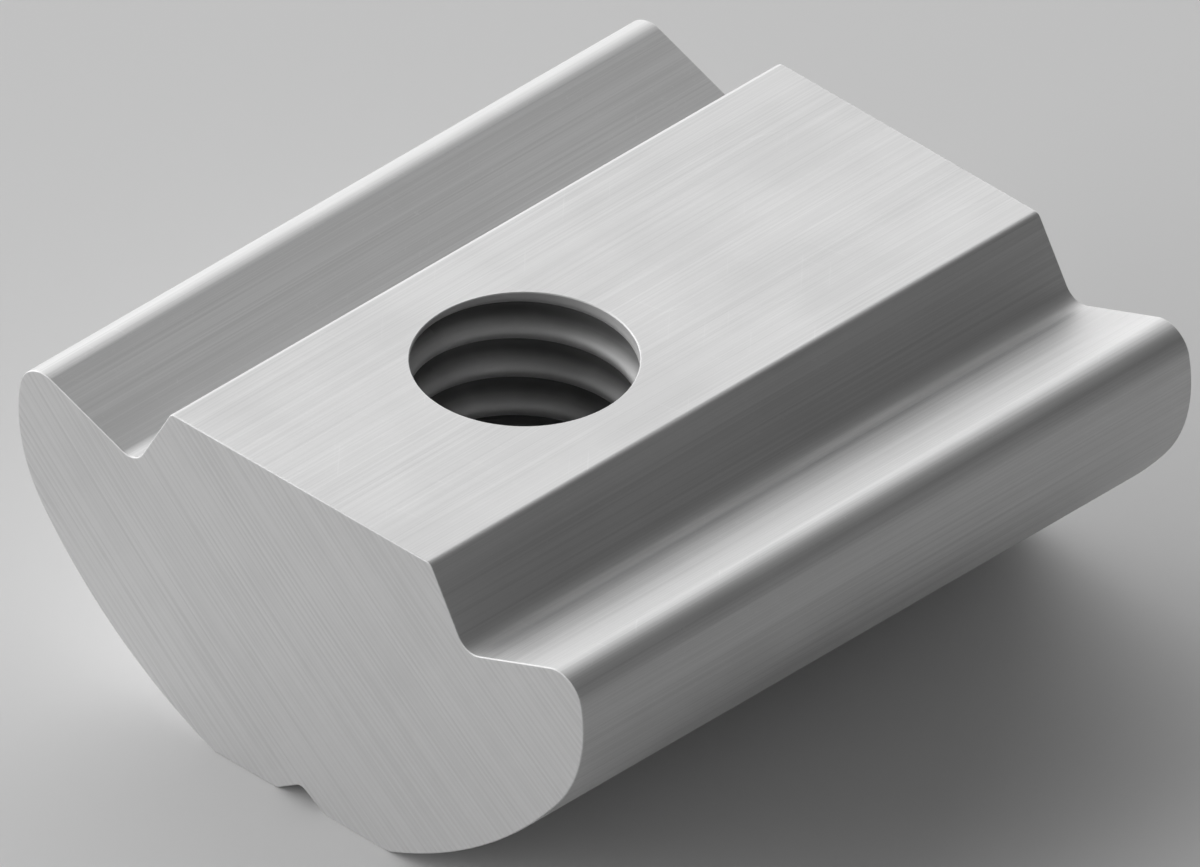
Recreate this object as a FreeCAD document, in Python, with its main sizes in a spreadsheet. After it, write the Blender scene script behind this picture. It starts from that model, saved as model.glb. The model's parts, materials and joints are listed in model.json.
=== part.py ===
import FreeCAD, Part
import math
import os
import Sketcher

# T-slot nut: a short length of drawn steel bar with one tapped hole through it.
# The neck stands in the mouth of the slot, the two wings reach under its lips,
# and the round belly lets the nut be rolled into the slot from its open side.
# Frame: the origin is where the thread's axis meets the plane that the nut stands on,
# X runs across the slot, Y along it towards the long end, and Z up towards the neck.

# Driving dimensions, in mm and degrees
sizes = {
    "nutLength": 18.3,  # end to end, along the slot
    "nutWidth": 17.0,  # over both wings
    "nutHeight": 8.15,  # from the feet to the top of the neck
    "neckWidth": 7.8,  # across the top of the neck, between its sharp corners
    "neckDepth": 1.84,  # from the top down to the root of each notch
    "flankAngle": 60.0,  # flank of the neck against the level
    "wingAngle": 20.0,  # upper side of a wing, which climbs outwards
    "sideRadius": 3.62,  # round outer side of a wing
    "sideLevel": 2.12,  # centre of that round, below the top
    "bellyRadius": 12.0,  # long curve from the side down to the foot
    "footWidth": 5.25,  # over both flat feet, between their sharp outer corners
    "grooveWidth": 1.44,  # shallow groove along the middle of the underside
    "grooveDepth": 0.435,
    "neckEdgeRadius": 0.2,  # the bar's rounds, from the top down
    "notchRadius": 0.5,
    "wingTipRadius": 0.72,
    "footEdgeRadius": 0.8,
    "grooveEdgeRadius": 0.25,
    "grooveRootRadius": 0.25,
    "threadDiameter": 6.0,  # coarse metric thread
    "threadPitch": 1.0,
    "threadToFront": 6.74,  # thread's axis to the front end, the nearer one
}

# The bore is the thread's core: a basic thread is five eighths of its sharp triangle deep
coreDiameter = "Sizes.threadDiameter - 5 / 8 * sqrt(3) * Sizes.threadPitch"

edgeTolerance = 0.001  # mm, for finding an edge by its place
volumeTolerance = 1e-6  # share of a volume, for comparing two of them

# A sketch numbers the points of a line or arc upwards from 1, and its own two axes downwards from -1
first, last, centre = range(1, 4)
levelAxis, uprightAxis = range(-1, -3, -1)
origin = (levelAxis, first)

document = FreeCAD.newDocument("TSlotNut")
sheet = document.addObject("Spreadsheet::Sheet", "Sizes")
for row, (alias, value) in enumerate(sizes.items(), start=1):
    sheet.set("A%d" % row, alias)
    sheet.set("B%d" % row, str(value))
    sheet.setAlias("B%d" % row, alias)
document.recompute()


def planeOf(body, role):
    """One of the body's own origin planes."""
    return [item for item in body.Origin.OriginFeatures if item.Role == role][0]


def sketchOn(body, name, role, level):
    """A sketch parallel to an origin plane, at the distance that an expression gives."""
    sketch = body.newObject("Sketcher::SketchObject", name)
    sketch.AttachmentSupport = [(planeOf(body, role), "")]
    sketch.MapMode = "FlatFace"
    sketch.setExpression("AttachmentOffset.Base.z", level)
    return sketch


def dimension(sketch, name, kind, places, expression):
    """A named dimension of the sketch that follows the sheet."""
    value = sheet.evalExpression(expression)
    if kind == "Angle":
        value = math.radians(value)
    index = sketch.addConstraint(Sketcher.Constraint(kind, *places, value))
    sketch.renameConstraint(index, name)
    sketch.setExpression("Constraints." + name, expression)


def bearing(start, end):
    """The direction from one point to another, as an angle from the level."""
    return math.atan2(end.y - start.y, end.x - start.x)


def arc(middle, radius, low, high):
    """An arc drawn anticlockwise from one angle to another."""
    circle = Part.Circle(middle, FreeCAD.Vector(0, 0, 1), radius)
    return Part.ArcOfCircle(circle, low, high)


def wingTip(notchRoot, sideMiddle):
    """Where the upper side of the wing, climbing from the notch, meets the side's round."""
    angle = math.radians(sizes["wingAngle"])
    along = FreeCAD.Vector(math.cos(angle), math.sin(angle), 0)
    toMiddle = sideMiddle - notchRoot
    middleRun = toMiddle.dot(along)
    halfChord = math.sqrt(sizes["sideRadius"] ** 2 - toMiddle.Length ** 2 + middleRun ** 2)
    return notchRoot + along * (middleRun + halfChord)


def bellyMiddle(sideMiddle, footCorner):
    """Centre of the belly's arc, which touches the side's round from outside and ends at the foot."""
    toFoot = footCorner - sideMiddle
    fromSide = sizes["bellyRadius"] - sizes["sideRadius"]
    along = (fromSide ** 2 - sizes["bellyRadius"] ** 2 + toFoot.Length ** 2) / (2 * toFoot.Length)
    across = math.sqrt(fromSide ** 2 - along ** 2)
    toFoot.normalize()
    return sideMiddle + toFoot * along + FreeCAD.Vector(toFoot.y, -toFoot.x, 0) * across


def halfOutline():
    """The right half of the bar's section as lines and arcs, drawn where the constraints hold them."""
    height = sizes["nutHeight"]
    depth = sizes["neckDepth"]
    side = sizes["sideRadius"]
    flankRun = depth / math.tan(math.radians(sizes["flankAngle"]))
    topMiddle = FreeCAD.Vector(0, height, 0)
    neckCorner = FreeCAD.Vector(sizes["neckWidth"] / 2, height, 0)
    notchRoot = neckCorner + FreeCAD.Vector(flankRun, -depth, 0)
    sideMiddle = FreeCAD.Vector(sizes["nutWidth"] / 2 - side, height - sizes["sideLevel"], 0)
    tip = wingTip(notchRoot, sideMiddle)
    footCorner = FreeCAD.Vector(sizes["footWidth"] / 2, 0, 0)
    grooveCorner = FreeCAD.Vector(sizes["grooveWidth"] / 2, 0, 0)
    grooveRoot = FreeCAD.Vector(0, sizes["grooveDepth"], 0)
    belly = bellyMiddle(sideMiddle, footCorner)
    shoulder = bearing(belly, sideMiddle)
    return {
        "middle": Part.LineSegment(grooveRoot, topMiddle),
        "top": Part.LineSegment(topMiddle, neckCorner),
        "flank": Part.LineSegment(neckCorner, notchRoot),
        "wing": Part.LineSegment(notchRoot, tip),
        "side": arc(sideMiddle, side, shoulder, bearing(sideMiddle, tip)),
        "belly": arc(belly, sizes["bellyRadius"], bearing(belly, footCorner), shoulder),
        "foot": Part.LineSegment(footCorner, grooveCorner),
        "groove": Part.LineSegment(grooveCorner, grooveRoot),
    }


def drawHalfSection(body):
    """The half section at the front end of the nut, and the number of each line and arc in it."""
    sketch = sketchOn(body, "HalfSection", "XZ_Plane", "Sizes.threadToFront")
    outline = halfOutline()
    at = dict(zip(outline, sketch.addGeometry(list(outline.values()), False)))

    joints = [
        ("middle", last, "top", first),
        ("top", last, "flank", first),
        ("flank", last, "wing", first),
        ("wing", last, "side", last),
        ("belly", first, "foot", first),
        ("foot", last, "groove", first),
        ("groove", last, "middle", first),
    ]
    for one, onePoint, other, otherPoint in joints:
        ends = (at[one], onePoint, at[other], otherPoint)
        sketch.addConstraint(Sketcher.Constraint("Coincident", *ends))
    sketch.addConstraint(Sketcher.Constraint("Tangent", at["side"], first, at["belly"], last))
    sketch.addConstraint(Sketcher.Constraint("PointOnObject", at["middle"], first, uprightAxis))
    sketch.addConstraint(Sketcher.Constraint("PointOnObject", at["foot"], first, levelAxis))
    sketch.addConstraint(Sketcher.Constraint("Vertical", at["middle"]))
    sketch.addConstraint(Sketcher.Constraint("Horizontal", at["top"]))
    sketch.addConstraint(Sketcher.Constraint("Horizontal", at["foot"]))

    topMiddle = (at["top"], first)
    neckCorner = (at["top"], last)
    notchRoot = (at["flank"], last)
    sideMiddle = (at["side"], centre)
    footCorner = (at["foot"], first)
    grooveCorner = (at["foot"], last)
    grooveRoot = (at["middle"], first)
    sideReach = "Sizes.nutWidth / 2 - Sizes.sideRadius"
    dimension(sketch, "height", "DistanceY", origin + topMiddle, "Sizes.nutHeight")
    dimension(sketch, "halfNeck", "DistanceX", origin + neckCorner, "Sizes.neckWidth / 2")
    dimension(sketch, "neckDepth", "DistanceY", notchRoot + neckCorner, "Sizes.neckDepth")
    dimension(sketch, "flankAngle", "Angle", (at["flank"],), "-Sizes.flankAngle")
    dimension(sketch, "wingAngle", "Angle", (at["wing"],), "Sizes.wingAngle")
    dimension(sketch, "sideRadius", "Radius", (at["side"],), "Sizes.sideRadius")
    dimension(sketch, "sideReach", "DistanceX", origin + sideMiddle, sideReach)
    dimension(sketch, "sideLevel", "DistanceY", sideMiddle + topMiddle, "Sizes.sideLevel")
    dimension(sketch, "bellyRadius", "Radius", (at["belly"],), "Sizes.bellyRadius")
    dimension(sketch, "halfFoot", "DistanceX", origin + footCorner, "Sizes.footWidth / 2")
    dimension(sketch, "halfGroove", "DistanceX", origin + grooveCorner, "Sizes.grooveWidth / 2")
    dimension(sketch, "grooveDepth", "DistanceY", origin + grooveRoot, "Sizes.grooveDepth")
    document.recompute()
    if not sketch.FullyConstrained:
        raise RuntimeError("the half section can still move")
    return sketch, at


def lengthwiseEdges(shape, corner):
    """Names of the edges that run along the nut from a corner of the section or its mirror image."""
    names = []
    for number, edge in enumerate(shape.Edges, start=1):
        start = edge.Vertexes[0].Point
        run = edge.Vertexes[-1].Point - start
        runsAlong = math.hypot(run.x, run.z) < edgeTolerance and abs(run.y) > edgeTolerance
        off = math.hypot(abs(start.x) - corner.x, start.z - corner.y)
        if runsAlong and off < edgeTolerance:
            names.append("Edge%d" % number)
    return names


def roundCorner(body, name, corner, radius):
    """Rounds the long edges at one corner of the section, on both sides of the nut."""
    base = body.Tip
    edges = lengthwiseEdges(base.Shape, corner)
    if not edges:
        raise RuntimeError("no edge to round for " + name)
    fillet = body.newObject("PartDesign::Fillet", name)
    fillet.Base = (base, edges)
    fillet.setExpression("Radius", radius)
    body.Tip = fillet
    document.recompute()


def buildNut():
    """The whole nut: half section, bar, mirror image, rounds and tapped hole."""
    nut = document.addObject("PartDesign::Body", "t_slot_nut")
    nut.Label = "t_slot_nut"
    nut.Placement = FreeCAD.Placement()
    section, at = drawHalfSection(nut)

    halfBar = nut.newObject("PartDesign::Pad", "HalfBar")
    halfBar.Profile = section
    halfBar.Reversed = True
    halfBar.setExpression("Length", "Sizes.nutLength")
    document.recompute()

    bar = nut.newObject("PartDesign::Mirrored", "Bar")
    bar.Originals = [halfBar]
    bar.MirrorPlane = (planeOf(nut, "YZ_Plane"), [""])
    nut.Tip = bar
    document.recompute()
    if not math.isclose(bar.Shape.Volume, 2 * halfBar.Shape.Volume, rel_tol=volumeTolerance):
        raise RuntimeError("the mirror image of the bar is missing")

    rounds = [
        ("NeckEdges", "top", last, "Sizes.neckEdgeRadius"),
        ("NotchRoots", "flank", last, "Sizes.notchRadius"),
        ("WingTips", "wing", last, "Sizes.wingTipRadius"),
        ("FootEdges", "foot", first, "Sizes.footEdgeRadius"),
        ("GrooveEdges", "foot", last, "Sizes.grooveEdgeRadius"),
        ("GrooveRoot", "groove", last, "Sizes.grooveRootRadius"),
    ]
    for name, line, end, radius in rounds:
        roundCorner(nut, name, section.getPoint(at[line], end), radius)

    mouth = sketchOn(nut, "ThreadMouth", "XY_Plane", "Sizes.nutHeight")
    circle = Part.Circle(FreeCAD.Vector(), FreeCAD.Vector(0, 0, 1), sizes["threadDiameter"] / 2)
    ring = mouth.addGeometry(circle, False)
    mouth.addConstraint(Sketcher.Constraint("Coincident", ring, centre, *origin))
    dimension(mouth, "core", "Diameter", (ring,), coreDiameter)
    document.recompute()

    blank = nut.Shape.Volume
    thread = nut.newObject("PartDesign::Hole", "TappedHole")
    thread.Profile = mouth
    thread.DepthType = "ThroughAll"
    thread.setExpression("Diameter", coreDiameter)
    nut.Tip = thread
    document.recompute()
    drilled = blank - nut.Shape.Volume
    coreRadius = sheet.evalExpression(coreDiameter) / 2
    wall = sizes["nutHeight"] - sizes["grooveDepth"]
    if drilled < math.pi * coreRadius ** 2 * wall:
        raise RuntimeError("the hole doesn't go right through")
    return nut


def checkModel(parts):
    """Stops unless every object was worked out and every part is one closed, valid solid."""
    for item in document.Objects:
        if "Invalid" in item.State or "Error" in item.State:
            raise RuntimeError(item.Name + " failed")
    for part in parts:
        shape = part.Shape
        if shape.isNull() or not shape.isValid() or len(shape.Solids) != 1:
            raise RuntimeError(part.Label + " isn't one sound solid")


parts = [buildNut()]
checkModel(parts)
os.makedirs("parts", exist_ok=True)
for part in parts:
    box = part.Shape.BoundBox
    part.Shape.exportStep("parts/%s.step" % part.Label)
    print("%s: %.2f x %.2f x %.2f mm, %.1f mm3, %d faces" % (
        part.Label, box.XLength, box.YLength, box.ZLength, part.Shape.Volume, len(part.Shape.Faces)
    ))
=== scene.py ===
import bmesh
import bpy
import json
import math
from mathutils import Matrix, Vector


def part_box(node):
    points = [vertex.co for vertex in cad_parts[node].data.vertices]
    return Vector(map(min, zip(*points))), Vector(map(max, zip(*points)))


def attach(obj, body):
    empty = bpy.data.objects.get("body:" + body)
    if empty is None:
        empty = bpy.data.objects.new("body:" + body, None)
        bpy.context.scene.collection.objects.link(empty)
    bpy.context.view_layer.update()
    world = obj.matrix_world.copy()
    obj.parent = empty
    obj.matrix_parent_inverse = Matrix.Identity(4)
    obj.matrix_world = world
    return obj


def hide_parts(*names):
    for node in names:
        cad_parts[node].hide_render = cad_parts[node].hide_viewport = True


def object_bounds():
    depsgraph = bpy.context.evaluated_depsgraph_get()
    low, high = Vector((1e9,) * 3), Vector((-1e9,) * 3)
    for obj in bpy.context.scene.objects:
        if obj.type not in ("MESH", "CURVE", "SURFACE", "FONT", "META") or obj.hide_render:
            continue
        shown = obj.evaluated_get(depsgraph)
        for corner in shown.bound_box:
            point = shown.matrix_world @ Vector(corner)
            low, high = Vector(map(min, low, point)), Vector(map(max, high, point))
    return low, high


# T-slot nut: a short length of drawn steel bar, sawn off at both ends, with a tapped hole.
# Lengths in the dictionaries are millimetres and angles are degrees; finished meshes are in metres.
# X runs across the slot, Y along it towards the long end, Z up; the thread's axis is X = Y = 0.

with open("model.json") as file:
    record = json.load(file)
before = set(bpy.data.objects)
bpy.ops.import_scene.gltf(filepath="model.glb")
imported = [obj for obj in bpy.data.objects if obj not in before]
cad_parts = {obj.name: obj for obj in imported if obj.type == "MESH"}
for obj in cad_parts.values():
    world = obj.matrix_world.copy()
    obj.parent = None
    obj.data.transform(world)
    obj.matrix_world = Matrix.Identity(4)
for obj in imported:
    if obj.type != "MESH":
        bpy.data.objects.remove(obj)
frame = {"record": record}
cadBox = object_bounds()
mm = 0.001
samePlace = 0.00001  # two vertices this near, in millimetres, are one
print("frame loaded")


# Places taken from the frame

lowCorner, highCorner = [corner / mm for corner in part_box("t_slot_nut")]
mounts = {mount["name"]: mount for mount in frame["record"]["mounts"]}
threadCore = mounts["thread"]["dims"]["r_mm"]
barTop = highCorner.z
barHalfWidth = highCorner.x
frontEnd = lowCorner.y
rearEnd = highCorner.y


# The bar's section, as the die draws it

bar = {
    "neckHalfWidth": 3.9,
    "neckDepth": 1.84,
    "flankAngle": 60.0,
    "wingAngle": 20.0,
    "sideRadius": 3.62,
    "sideLevel": 2.12,  # centre of the side's round, below the top
    "bellyRadius": 12.0,
    "footHalfWidth": 2.625,
    "grooveHalfWidth": 0.72,
    "grooveDepth": 0.435,
    "neckEdgeRadius": 0.2,
    "notchRadius": 0.5,
    "wingTipRadius": 0.72,
    "footEdgeRadius": 0.8,
    "grooveEdgeRadius": 0.25,
    "grooveRootRadius": 0.25,
    "sawnEdgeRadius": 0.035,  # light deburring round both ends
    "sawnEdgeSteps": 3,
    "arcStep": 0.09,  # longest chord on a round, about four pixels of the photo
    "arcChords": 6,  # fewest on a round
    "leastStep": 0.0001,  # from point to point, and from the middle
}


def polar(middle, radius, angle):
    return middle + radius * Vector((math.cos(angle), math.sin(angle)))


def heading(start, end):
    return math.atan2(end.y - start.y, end.x - start.x)


def arcPoints(middle, radius, start, end):
    turn = (end - start + math.pi) % (2 * math.pi) - math.pi  # the short way round
    count = max(bar["arcChords"], math.ceil(abs(turn) * radius / bar["arcStep"]))
    return [polar(middle, radius, start + turn * step / count) for step in range(count + 1)]


def roundedCorner(before, corner, after, radius):
    towards = (before - corner).normalized()
    away = (after - corner).normalized()
    halfAngle = towards.angle(away) / 2
    middle = corner + (towards + away).normalized() * radius / math.sin(halfAngle)
    setBack = radius / math.tan(halfAngle)
    start = heading(middle, corner + towards * setBack)
    return arcPoints(middle, radius, start, heading(middle, corner + away * setBack))


def meetLineAndCircle(point, along, middle, radius):
    toMiddle = middle - point
    run = toMiddle.dot(along)
    return point + along * (run + math.sqrt(radius ** 2 - toMiddle.length_squared + run ** 2))


def findBellyMiddle(sideMiddle, foot):
    # the belly touches the side's round from outside and ends at the foot
    fromSide = bar["bellyRadius"] - bar["sideRadius"]
    toFoot = foot - sideMiddle
    along = (fromSide ** 2 - bar["bellyRadius"] ** 2 + toFoot.length_squared) / (2 * toFoot.length)
    across = math.sqrt(fromSide ** 2 - along ** 2)
    toFoot.normalize()
    return sideMiddle + toFoot * along + Vector((toFoot.y, -toFoot.x)) * across


def halfSection():
    # the right half, from the top down
    top = Vector((0, barTop))
    neckCorner = Vector((bar["neckHalfWidth"], barTop))
    flankRun = bar["neckDepth"] / math.tan(math.radians(bar["flankAngle"]))
    notch = neckCorner + Vector((flankRun, -bar["neckDepth"]))
    wing = Vector((1, 0))
    wing.rotate(Matrix.Rotation(math.radians(bar["wingAngle"]), 2))
    wingInward = Vector((wing.y, -wing.x))
    sideMiddle = Vector((barHalfWidth - bar["sideRadius"], barTop - bar["sideLevel"]))
    foot = Vector((bar["footHalfWidth"], 0))
    grooveEdge = Vector((bar["grooveHalfWidth"], 0))
    grooveRoot = Vector((0, bar["grooveDepth"]))
    bellyMiddle = findBellyMiddle(sideMiddle, foot)

    tipRadius = bar["wingTipRadius"]
    tipMiddle = meetLineAndCircle(
        notch + wingInward * tipRadius, wing, sideMiddle, bar["sideRadius"] - tipRadius)
    footRadius = bar["footEdgeRadius"]
    footMiddle = meetLineAndCircle(
        Vector((0, footRadius)), Vector((1, 0)), bellyMiddle, bar["bellyRadius"] - footRadius)

    shoulder = heading(bellyMiddle, sideMiddle)
    sideStart = heading(sideMiddle, tipMiddle)
    bellyEnd = heading(bellyMiddle, footMiddle)
    stretches = [
        roundedCorner(top, neckCorner, notch, bar["neckEdgeRadius"]),
        roundedCorner(neckCorner, notch, notch + wing, bar["notchRadius"]),
        arcPoints(tipMiddle, tipRadius, heading(wingInward, Vector((0, 0))), sideStart),
        arcPoints(sideMiddle, bar["sideRadius"], sideStart, shoulder),
        arcPoints(bellyMiddle, bar["bellyRadius"], shoulder, bellyEnd),
        arcPoints(footMiddle, footRadius, bellyEnd, -math.pi / 2),
        roundedCorner(foot, grooveEdge, grooveRoot, bar["grooveEdgeRadius"]),
        roundedCorner(grooveEdge, grooveRoot, -grooveEdge, bar["grooveRootRadius"]),
    ]
    points = []
    for stretch in stretches:
        for point in stretch:
            isNew = not points or (point - points[-1]).length > bar["leastStep"]
            if isNew and point.x > bar["leastStep"]:
                points.append(point)
    return points


def wholeSection():
    right = halfSection()
    left = [Vector((-point.x, point.y)) for point in reversed(right)]
    return right + left  # clockwise, seen from the front


def insetSection(points, inset):
    moved = []
    for number, point in enumerate(points):
        before = points[number - 1]
        after = points[(number + 1) % len(points)]
        tangent = ((point - before).normalized() + (after - point).normalized()).normalized()
        moved.append(point + Vector((tangent.y, -tangent.x)) * inset)
    return moved


section = wholeSection()
print("section worked out:", len(section), "points")


def barMesh():
    radius = bar["sawnEdgeRadius"]
    steps = bar["sawnEdgeSteps"]
    quarter = [math.pi / 2 * step / steps for step in range(steps + 1)]
    frontHalf = []  # from the end face outwards
    for turn in reversed(quarter):
        frontHalf.append((frontEnd + radius * (1 - math.sin(turn)), radius * (1 - math.cos(turn))))
    stations = frontHalf + [(frontEnd + rearEnd - y, inset) for y, inset in reversed(frontHalf)]

    work = bmesh.new()
    loops = []
    for y, inset in stations:
        loops.append([work.verts.new((p.x, y, p.y)) for p in insetSection(section, inset)])
    for one, other in zip(loops, loops[1:]):
        for number in range(len(section)):
            before = number - 1
            work.faces.new((one[before], one[number], other[number], other[before]))
    for face in (loops[0], loops[-1]):
        work.faces.new(face)
    bmesh.ops.recalc_face_normals(work, faces=work.faces)
    return work


# The tapped hole: a right-hand thread whose depth fades out just inside both mouths

thread = {
    "major": 3.0,  # radius at the roots
    "pitch": 1.0,
    "crestShare": 0.25,  # flat at the crest, as a share of the pitch
    "rootShare": 0.125,
    "easing": 0.10,  # how far the corners of the profile are rounded, as a share of the pitch
    "easingSamples": 9,
    "samples": 20,  # over one pitch
    "turnSteps": 144,
    "phaseAngle": 170.0,  # from +X, where a crest reaches the upper mouth
    "fade": 0.42,  # over which the thread reaches its depth, from either face
    "land": 0.06,  # plain bore at each face
    "mouthBreak": 0.02,  # broken edge of the upper mouth
    "overrun": 0.8,  # of the cutter, past both faces
}


def smooth(value):
    value = min(1.0, max(0.0, value))
    return value * value * (3 - 2 * value)


def grooveShape(share):
    # 0 on the crest and 1 at the root, with straight flanks, averaged over a short window
    flank = (1 - thread["crestShare"] - thread["rootShare"]) / 2
    samples = thread["easingSamples"]
    total = 0
    for number in range(samples):
        at = share + thread["easing"] * (number / (samples - 1) - 0.5) * 2
        fromCrest = abs((at + 0.5) % 1 - 0.5)
        total += min(1.0, max(0.0, (fromCrest - thread["crestShare"] / 2) / flank))
    return total / samples


def boreRadius(angle, z):
    phase = (angle - math.radians(thread["phaseAngle"])) / (2 * math.pi)
    share = (z - barTop) / thread["pitch"] - phase
    # the bar's groove lifts the lower mouth where it crosses the hole
    acrossGroove = abs(threadCore * math.cos(angle)) / bar["grooveHalfWidth"]
    underside = bar["grooveDepth"] * max(0.0, 1 - acrossGroove)
    fromFace = min(barTop - z, z - underside) - thread["land"]
    depth = (thread["major"] - threadCore) * smooth(fromFace / thread["fade"])
    return threadCore + depth * grooveShape(share)


def cutterMesh():
    # every row climbs with the helix, so its end meets the row one pitch up, where the next turn starts
    pitch = thread["pitch"]
    perTurn = thread["turnSteps"]
    samples = thread["samples"]
    low = -thread["overrun"]
    high = barTop - thread["land"]
    rows = math.ceil((high - low + pitch) / pitch * samples)
    work = bmesh.new()

    def ring(z, radius=None):
        made = []
        for step in range(perTurn):
            angle = 2 * math.pi * step / perTurn
            reach = radius or boreRadius(angle, z)
            made.append(work.verts.new((reach * math.cos(angle), reach * math.sin(angle), z)))
        return made

    def rowLevel(step, row):
        return low + pitch * (row / samples + step / perTurn)

    grid = {}
    for step in range(perTurn):
        angle = 2 * math.pi * step / perTurn
        for row in range(-samples, rows):
            z = rowLevel(step, row)
            if low < z < high:
                radius = boreRadius(angle, z)
                grid[step, row] = work.verts.new((radius * math.cos(angle), radius * math.sin(angle), z))
    lowRing = ring(low)
    highRing = ring(high)

    def at(step, row):
        if step == perTurn:
            step = 0
            row += samples
        if (step, row) in grid:
            return grid[step, row]
        return lowRing[step] if rowLevel(step, row) <= low else highRing[step]

    for step in range(perTurn):
        for row in range(-samples - 1, rows + samples):
            corners = [at(step, row), at(step + 1, row), at(step + 1, row + 1), at(step, row + 1)]
            distinct = [corner for number, corner in enumerate(corners) if corner is not corners[number - 1]]
            if len(distinct) > 2:
                work.faces.new(distinct)

    # above the helix: plain bore, then a cone that breaks the mouth's edge
    breakStart = ring(barTop - thread["mouthBreak"], threadCore)
    coneEnd = ring(barTop + thread["overrun"], threadCore + thread["mouthBreak"] + thread["overrun"])
    for lower, upper in ((highRing, breakStart), (breakStart, coneEnd)):
        for step in range(perTurn):
            before = step - 1
            work.faces.new((lower[before], lower[step], upper[step], upper[before]))
    work.faces.new(lowRing)
    work.faces.new(coneEnd)
    bmesh.ops.remove_doubles(work, verts=work.verts, dist=samePlace)
    bmesh.ops.recalc_face_normals(work, faces=work.faces)
    return work


def asObject(work, name, materials):
    mesh = bpy.data.meshes.new(name)
    work.to_mesh(mesh)
    work.free()
    for material in materials:
        mesh.materials.append(material)
    made = bpy.data.objects.new(name, mesh)
    bpy.context.scene.collection.objects.link(made)
    return made


# Shader helpers

def addNode(tree, kind, **settings):
    node = tree.nodes.new(kind)
    for name, value in settings.items():
        setattr(node, name, value)
    return node


def feed(tree, node, inputs):
    # sets each input, named by its label or its number, to a value, or links it where an output is given
    for label, value in inputs.items():
        if isinstance(value, bpy.types.NodeSocket):
            tree.links.new(value, node.inputs[label])
        else:
            node.inputs[label].default_value = value
    return node


def maths(tree, operation, one, other=0.0):
    return feed(tree, addNode(tree, "ShaderNodeMath", operation=operation), {0: one, 1: other}).outputs[0]


def vectorMaths(tree, operation, one, other=(0.0, 0.0, 0.0), output="Vector"):
    node = addNode(tree, "ShaderNodeVectorMath", operation=operation)
    return feed(tree, node, {0: one, 1: other}).outputs[output]


def joined(tree, x, y, z):
    return feed(tree, addNode(tree, "ShaderNodeCombineXYZ"), {0: x, 1: y, 2: z}).outputs[0]


def noise(tree, position, scale, detail, roughness=0.55):
    node = addNode(tree, "ShaderNodeTexNoise")
    inputs = {"Vector": position, "Scale": scale, "Detail": detail, "Roughness": roughness}
    return feed(tree, node, inputs).outputs["Fac"]


def remap(tree, value, given, wanted=(0.0, 1.0)):
    # eases from one range into another and stays inside it
    node = addNode(tree, "ShaderNodeMapRange", interpolation_type="SMOOTHSTEP")
    limits = {"From Min": given[0], "From Max": given[1], "To Min": wanted[0], "To Max": wanted[1]}
    return feed(tree, node, {"Value": value, **limits}).outputs[0]


def blend(tree, *terms):
    # adds up value times weight
    total = 0.0
    for value, weight in terms:
        node = addNode(tree, "ShaderNodeMath", operation="MULTIPLY_ADD")
        total = feed(tree, node, {0: value, 1: weight, 2: total}).outputs[0]
    return total


def mixture(tree, sources, shares):
    # adds up the sources that the shares name
    return blend(tree, *[(sources[name], share) for name, share in shares.items()])


def mixColours(tree, share, one, other):
    node = addNode(tree, "ShaderNodeMix", data_type="RGBA")
    return feed(tree, node, {0: share, 6: one, 7: other}).outputs[2]


def grey(level):
    return (level, level, level, 1.0)


# Effects that several finishes share; their positions are in millimetres

effects = {
    "grainDetail": 1.5,
    "bandScale": 0.17,  # of the broad lines, against the fine ones
    "bandDetail": 2.0,
    "bandRoughness": 0.6,
    "cloudDetail": 2.5,
    "wearTurn": (0.995, 0.86),  # cosine at which wear starts and is full
    "wearSamples": 6,
    "wearPatchScale": 2.2,
    "wearPatchDetail": 2.0,
    "wearPatchRange": (0.35, 0.6),  # of the noise, from worn least to worn most
    "wearPatchLevels": (0.3, 1.0),
    "scratchWidth": 0.05,
    "scratchLength": 2.4,
    "scratchRarity": (0.79, 0.84),  # of the noise, from no scratch to a full one
}


def newGroup(name, inputs, outputs):
    tree = bpy.data.node_groups.new(name, "ShaderNodeTree")
    tree.interface.new_socket("Position", in_out="INPUT", socket_type="NodeSocketVector")
    for label, value in inputs.items():
        socket = tree.interface.new_socket(label, in_out="INPUT", socket_type="NodeSocketFloat")
        socket.default_value = value
    for label in outputs:
        tree.interface.new_socket(label, in_out="OUTPUT", socket_type="NodeSocketFloat")
    return tree, addNode(tree, "NodeGroupInput").outputs, addNode(tree, "NodeGroupOutput")


def lineGrainGroup():
    # fine lines that run along the position's Y, and broad bands of them
    tree, given, result = newGroup("lineGrain", {"Spacing": 0.04, "Stretch": 60.0}, ["Fine", "Broad"])
    across = maths(tree, "DIVIDE", 1.0, given["Spacing"])
    along = maths(tree, "DIVIDE", across, given["Stretch"])
    place = vectorMaths(tree, "MULTIPLY", given["Position"], joined(tree, across, along, across))
    fine = noise(tree, place, 1.0, effects["grainDetail"])
    broad = noise(tree, place, effects["bandScale"], effects["bandDetail"], effects["bandRoughness"])
    feed(tree, result, {"Fine": fine, "Broad": broad})
    return tree


def cloudGroup():
    # soft unevenness of tone
    tree, given, result = newGroup("cloud", {"Size": 3.0}, ["Cloud"])
    scale = maths(tree, "DIVIDE", 1.0, given["Size"])
    feed(tree, result, {"Cloud": noise(tree, given["Position"], scale, effects["cloudDetail"])})
    return tree


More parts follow.
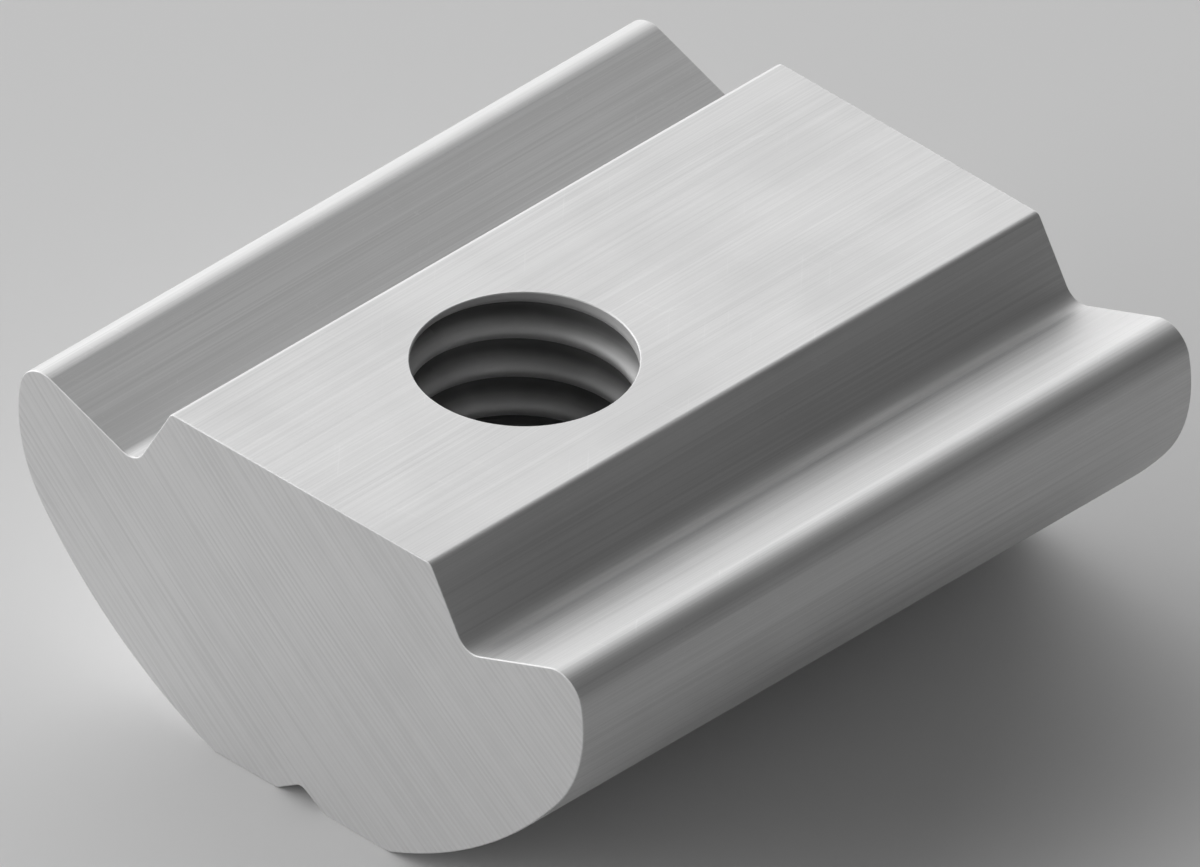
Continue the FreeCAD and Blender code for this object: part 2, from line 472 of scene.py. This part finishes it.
def edgeWearGroup():
    # where the surface turns a corner within reach, broken up by patches
    tree, given, result = newGroup("edgeWear", {"Reach": 0.1}, ["Wear"])
    bevel = addNode(tree, "ShaderNodeBevel", samples=effects["wearSamples"])
    softened = feed(tree, bevel, {"Radius": maths(tree, "MULTIPLY", given["Reach"], mm)}).outputs[0]
    plain = addNode(tree, "ShaderNodeNewGeometry").outputs["Normal"]
    agree = vectorMaths(tree, "DOT_PRODUCT", softened, plain, "Value")
    turned = remap(tree, agree, effects["wearTurn"])
    patches = noise(tree, given["Position"], effects["wearPatchScale"], effects["wearPatchDetail"])
    broken = remap(tree, patches, effects["wearPatchRange"], effects["wearPatchLevels"])
    feed(tree, result, {"Wear": maths(tree, "MULTIPLY", turned, broken)})
    return tree


def scratchGroup():
    # sparse short hairlines, all turned by one slant about Z, which the node takes in radians
    tree, given, result = newGroup("scratches", {"Slant": 0.0}, ["Scratch"])
    turned = addNode(tree, "ShaderNodeVectorRotate", rotation_type="Z_AXIS")
    place = feed(tree, turned, {"Vector": given["Position"], "Angle": given["Slant"]}).outputs[0]
    across = 1 / effects["scratchWidth"]
    place = vectorMaths(tree, "MULTIPLY", place, (across, 1 / effects["scratchLength"], across))
    hair = noise(tree, place, 1.0, 0.0)
    feed(tree, result, {"Scratch": remap(tree, hair, effects["scratchRarity"])})
    return tree


groups = {tree.name: tree for tree in (lineGrainGroup(), cloudGroup(), edgeWearGroup(), scratchGroup())}


def placeGroup(tree, name, position, **inputs):
    node = addNode(tree, "ShaderNodeGroup", node_tree=groups[name])
    return feed(tree, node, {"Position": position, **inputs}).outputs


def newFinish(name):
    material = bpy.data.materials.new(name)
    material.use_nodes = True
    tree = material.node_tree
    surface = tree.nodes["Principled BSDF"]
    surface.inputs["Metallic"].default_value = 1.0
    metres = addNode(tree, "ShaderNodeTexCoord").outputs["Object"]
    position = vectorMaths(tree, "MULTIPLY", metres, (1 / mm, 1 / mm, 1 / mm))
    return material, tree, surface, position


def finish(tree, surface, colour, roughness, height, depth):
    bump = addNode(tree, "ShaderNodeBump")
    normal = feed(tree, bump, {"Strength": 1.0, "Distance": depth * mm, "Height": height}).outputs[0]
    feed(tree, surface, {"Base Color": colour, "Roughness": roughness, "Normal": normal})


# Drawn steel, on everything that ran through the die

drawn = {
    "dark": 0.62,
    "light": 0.72,
    "worn": 0.75,
    "roughness": (0.60, 0.70),
    "wornSmoother": 0.03,
    "lineSpacing": 0.04,
    "lineStretch": 240.0,  # how many times longer the lines are than wide
    "toneShares": {"fine": 0.35, "broad": 0.4, "cloud": 0.25},
    "toneRange": (0.36, 0.62),  # of the mixture, from dark to light
    "roughShares": {"broad": 0.5, "cloud": 0.5},
    "roughRange": (0.35, 0.65),
    "scratchSlants": (17.19, -42.97, 77.35),
    "scratchStrength": 0.3,
    "reliefShares": {"fine": 0.6, "broad": 0.8},
    "relief": 0.0007,
}


def drawnSteel():
    material, tree, surface, position = newFinish("drawnSteel")
    spacing = drawn["lineSpacing"]
    lines = placeGroup(tree, "lineGrain", position, Spacing=spacing, Stretch=drawn["lineStretch"])
    cloud = placeGroup(tree, "cloud", position)["Cloud"]
    wear = placeGroup(tree, "edgeWear", position)["Wear"]
    scratched = 0.0
    for slant in drawn["scratchSlants"]:
        hairlines = placeGroup(tree, "scratches", position, Slant=math.radians(slant))["Scratch"]
        scratched = maths(tree, "MAXIMUM", hairlines, scratched)

    marks = {"fine": lines["Fine"], "broad": lines["Broad"], "cloud": cloud}
    tone = remap(tree, mixture(tree, marks, drawn["toneShares"]), drawn["toneRange"])
    plain = mixColours(tree, tone, grey(drawn["dark"]), grey(drawn["light"]))
    bright = maths(tree, "MAXIMUM", wear, blend(tree, (scratched, drawn["scratchStrength"])))
    colour = mixColours(tree, bright, plain, grey(drawn["worn"]))
    rough = mixture(tree, marks, drawn["roughShares"])
    rough = remap(tree, rough, drawn["roughRange"], drawn["roughness"])
    rough = blend(tree, (bright, -drawn["wornSmoother"]), (rough, 1.0))
    finish(tree, surface, colour, rough, mixture(tree, marks, drawn["reliefShares"]), drawn["relief"])
    return material


# Sawn steel, on the two ends

sawn = {
    "dark": 0.65,
    "light": 0.75,
    "worn": 0.78,
    "roughness": (0.54, 0.44),  # the dark marks are the rougher ones
    "bladeMiddle": (58.0, 0.0, 75.0),  # the saw's arcs are struck about this point
    "markSpacing": 0.09,
    "markStretch": 60.0,
    "toothPitch": 0.16,  # the even marks among the random ones
    "toothDrift": 1.432,  # how far the random marks shift them, in tooth pitches
    "cloudSize": 2.0,
    "toneShares": {"fine": 0.45, "broad": 0.2, "teeth": 0.1, "cloud": 0.25},
    "toneRange": (0.36, 0.62),
    "roughRange": (0.38, 0.62),
    "reliefShares": {"fine": 0.8, "broad": 0.6, "teeth": 0.25},
    "relief": 0.0016,
}


def sawnSteel():
    material, tree, surface, position = newFinish("sawnSteel")
    reach = vectorMaths(tree, "DISTANCE", position, sawn["bladeMiddle"], "Value")
    apart = feed(tree, addNode(tree, "ShaderNodeSeparateXYZ"), {0: position}).outputs
    arcPlace = joined(tree, reach, apart["Z"], apart["Y"])
    spacing = sawn["markSpacing"]
    lines = placeGroup(tree, "lineGrain", arcPlace, Spacing=spacing, Stretch=sawn["markStretch"])
    cloud = placeGroup(tree, "cloud", position, Size=sawn["cloudSize"])["Cloud"]
    wear = placeGroup(tree, "edgeWear", position)["Wear"]
    perPitch = 2 * math.pi / sawn["toothPitch"]
    turn = blend(tree, (reach, perPitch), (lines["Broad"], 2 * math.pi * sawn["toothDrift"]))
    teeth = blend(tree, (maths(tree, "SINE", turn), 0.5), (0.5, 1.0))  # from 0 to 1

    marks = {"fine": lines["Fine"], "broad": lines["Broad"], "teeth": teeth, "cloud": cloud}
    tone = mixture(tree, marks, sawn["toneShares"])
    share = remap(tree, tone, sawn["toneRange"])
    plain = mixColours(tree, share, grey(sawn["dark"]), grey(sawn["light"]))
    colour = mixColours(tree, wear, plain, grey(sawn["worn"]))
    rough = remap(tree, tone, sawn["roughRange"], sawn["roughness"])
    finish(tree, surface, colour, rough, mixture(tree, marks, sawn["reliefShares"]), sawn["relief"])
    return material


# Tapped steel, in the hole, with painted shade in the thread's roots and painted highlight on its crests

tapped = {
    # the root's dark tone is painted shade and the crest's light tone is painted highlight
    "root": 0.28,
    "crest": 0.80,
    "roughness": (0.68, 0.80),
    "toolSpacing": 0.05,
    "toolStretch": 30.0,
    "cloudSize": 1.5,
    # the depth share paints shade into the roots; the cloud and broad shares are random stains
    "rootShadeAndStainShares": {"depth": 0.75, "cloud": 0.5, "broad": 0.3},
    "rootShadeAndStainRange": (0.25, 1.2),  # of the mixture, from the crest's painted highlight to the root's painted shade
    "roughRange": (0.2, 1.2),
    "reliefShares": {"fine": 0.6, "broad": 0.8},
    "relief": 0.0009,
}


def tappedSteel():
    material, tree, surface, position = newFinish("tappedSteel")
    level = vectorMaths(tree, "MULTIPLY", position, (1.0, 1.0, 0.0))
    radius = vectorMaths(tree, "LENGTH", level, output="Value")
    apart = feed(tree, addNode(tree, "ShaderNodeSeparateXYZ"), {0: position}).outputs
    turned = maths(tree, "ARCTAN2", apart["Y"], apart["X"])
    alongHelix = blend(tree, (turned, -thread["pitch"] / (2 * math.pi)), (apart["Z"], 1.0))
    toolPlace = joined(tree, alongHelix, apart["X"], radius)
    spacing = tapped["toolSpacing"]
    lines = placeGroup(tree, "lineGrain", toolPlace, Spacing=spacing, Stretch=tapped["toolStretch"])
    cloud = placeGroup(tree, "cloud", position, Size=tapped["cloudSize"])["Cloud"]
    depth = remap(tree, radius, (threadCore, thread["major"]))

    marks = {"fine": lines["Fine"], "broad": lines["Broad"], "cloud": cloud, "depth": depth}
    # painted shade in the roots and painted highlight on the crests, mixed with random stains
    rootShadeAndStain = mixture(tree, marks, tapped["rootShadeAndStainShares"])
    share = remap(tree, rootShadeAndStain, tapped["rootShadeAndStainRange"])
    colour = mixColours(tree, share, grey(tapped["crest"]), grey(tapped["root"]))
    rough = remap(tree, rootShadeAndStain, tapped["roughRange"], tapped["roughness"])
    finish(tree, surface, colour, rough, mixture(tree, marks, tapped["reliefShares"]), tapped["relief"])
    return material


outsideFinishes = [drawnSteel(), sawnSteel()]
insideFinish = tappedSteel()
print("finishes made")


# The nut itself

nutMesh = {
    "endFacing": 0.8,  # how squarely a face looks along the bar to be a sawn one
    "sharpAngle": 35.0,  # between two faces, from which their edge stays sharp
}


def cutHole(nut):
    cutter = asObject(cutterMesh(), "threadCutter", [insideFinish])
    cut = nut.modifiers.new("tappedHole", "BOOLEAN")
    cut.operation = "DIFFERENCE"
    cut.solver = "EXACT"
    cut.material_mode = "TRANSFER"
    cut.object = cutter
    bpy.context.view_layer.update()
    made = bpy.data.meshes.new_from_object(nut.evaluated_get(bpy.context.evaluated_depsgraph_get()))
    nut.modifiers.remove(cut)
    nut.data = made
    bpy.data.objects.remove(cutter)


def cleanMesh(nut):
    # welds what the cut left apart, marks the sharp edges and turns millimetres into metres
    work = bmesh.new()
    work.from_mesh(nut.data)
    bmesh.ops.remove_doubles(work, verts=work.verts, dist=samePlace)
    bmesh.ops.dissolve_degenerate(work, edges=work.edges, dist=samePlace)
    sharpAngle = math.radians(nutMesh["sharpAngle"])
    for edge in work.edges:
        edge.smooth = len(edge.link_faces) == 2 and edge.calc_face_angle() < sharpAngle
    for face in work.faces:
        face.smooth = True
    openEdges = sum(len(edge.link_faces) != 2 for edge in work.edges)
    bmesh.ops.scale(work, vec=(mm, mm, mm), verts=work.verts)
    work.to_mesh(nut.data)
    work.free()
    print("nut cut:", len(nut.data.polygons), "faces,", openEdges, "open edges")


def buildNut():
    nut = asObject(barMesh(), "slotNut", outsideFinishes)
    for polygon in nut.data.polygons:
        if abs(polygon.normal.y) > nutMesh["endFacing"]:
            polygon.material_index = 1
    cutHole(nut)
    cleanMesh(nut)
    even = nut.modifiers.new("evenNormals", "WEIGHTED_NORMAL")
    even.keep_sharp = True
    return nut


nut = buildNut()
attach(nut, "root")
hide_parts("t_slot_nut")


# Floor, lamps and camera; a bearing of 0 is in front of the nut and 90 to its right

studio = {
    "floorColour": 0.78,
    "floorRoughness": 0.7,
    "floorSpecular": 0.2,
    "floorHalfSize": 1500.0,
    "worldLevel": 0.14,
    "lamps": {
        "keyLamp": {
            "bearing": 250.0, "elevation": 27.0, "distance": 1200.0,
            "size": (3000.0, 1400.0), "power": 23.5,
        },
        "frontLamp": {
            "bearing": 315.0, "elevation": 18.0, "distance": 1200.0,
            "size": (1700.0, 800.0), "power": 9.2,
        },
    },
}


def pointAt(thing, direction):
    thing.rotation_euler = direction.to_track_quat("-Z", "Y").to_euler()


def buildFloor():
    work = bmesh.new()
    bmesh.ops.create_grid(work, x_segments=1, y_segments=1, size=studio["floorHalfSize"] * mm)
    material = bpy.data.materials.new("paleFloor")
    material.use_nodes = True
    surface = material.node_tree.nodes["Principled BSDF"]
    surface.inputs["Base Color"].default_value = grey(studio["floorColour"])
    surface.inputs["Roughness"].default_value = studio["floorRoughness"]
    surface.inputs["Specular IOR Level"].default_value = studio["floorSpecular"]
    asObject(work, "floor", [material])


def buildLamps():
    world = bpy.data.worlds.new("softRoom")
    world.use_nodes = True
    world.node_tree.nodes["Background"].inputs["Color"].default_value = grey(studio["worldLevel"])
    bpy.context.scene.world = world

    middle = (cadBox[0] + cadBox[1]) / 2
    for name, lamp in studio["lamps"].items():
        bearing = math.radians(lamp["bearing"])
        elevation = math.radians(lamp["elevation"])
        level = Vector((math.sin(bearing), -math.cos(bearing), 0))
        towards = level * math.cos(elevation) + Vector((0, 0, math.sin(elevation)))
        data = bpy.data.lights.new(name, "AREA")
        data.shape = "RECTANGLE"
        data.size, data.size_y = [side * mm for side in lamp["size"]]
        data.energy = lamp["power"]
        made = bpy.data.objects.new(name, data)
        made.location = middle + towards * lamp["distance"] * mm
        pointAt(made, -towards)
        bpy.context.scene.collection.objects.link(made)


camera = {
    "lookAt": (-1.0057, 3.2691, 4.075),  # what stands in the middle of the frame
    "frameWidth": 25.51,
    "distance": 500.0,
    "clip": (1.0, 10000.0),
}


def buildCamera():
    back = Vector((1, -1, 1)).normalized()  # the photo's view is isometric
    data = bpy.data.cameras.new("camera")
    data.type = "ORTHO"
    data.ortho_scale = camera["frameWidth"] * mm
    data.clip_start, data.clip_end = [depth * mm for depth in camera["clip"]]
    made = bpy.data.objects.new("camera", data)
    made.location = (Vector(camera["lookAt"]) + back * camera["distance"]) * mm
    pointAt(made, -back)
    bpy.context.scene.collection.objects.link(made)
    bpy.context.scene.camera = made


buildFloor()
buildLamps()
buildCamera()
bpy.context.scene.view_settings.view_transform = "Standard"
print("studio set")
